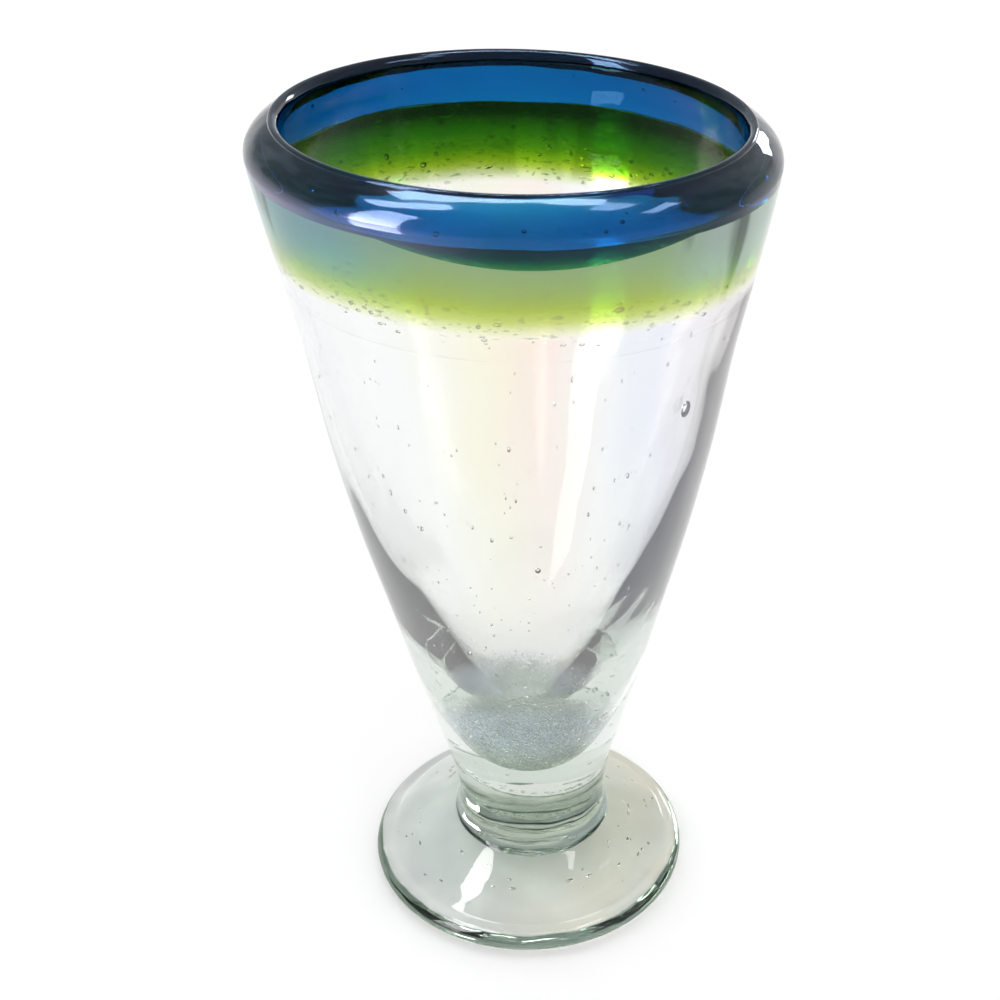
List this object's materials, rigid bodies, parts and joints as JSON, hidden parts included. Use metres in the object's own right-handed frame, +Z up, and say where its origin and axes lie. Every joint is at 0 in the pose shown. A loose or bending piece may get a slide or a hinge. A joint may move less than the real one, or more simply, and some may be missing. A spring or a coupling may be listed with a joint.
{
  "type": "pilsner glass",
  "caption": "Hand-blown footed pilsner glass: flaring clear bowl with a green band and a thick blue rolled rim, on a short stem and round foot.",
  "frame": {"origin": "under the middle of the mouth, on the surface the glass stands on; the foot's centre is 0.5 mm from it towards +X", "axes": "+Z up along the glass, -Y towards the viewer of the picture, +X to the viewer's right"},
  "size_m": [0.0974, 0.0974, 0.1802],
  "materials": {
    "foot_glass": "clear grey-green glass, fire-polished",
    "wafer_glass": "clear green-grey glass with fine bubbles at both joins",
    "clear_lustre_glass": "clear bubbly glass with a thin pearly lustre on the outside",
    "green_glass": "green glass that fades to yellow-green and clear at its lower edge",
    "blue_glass": "deep blue glass, smooth and glossy"
  },
  "bodies": {
    "root": {"foot": "foot_glass", "wafer": "wafer_glass", "bowl": "clear_lustre_glass", "green_band": "green_glass", "blue_rim": "blue_glass"}
  },
  "joints": []
}
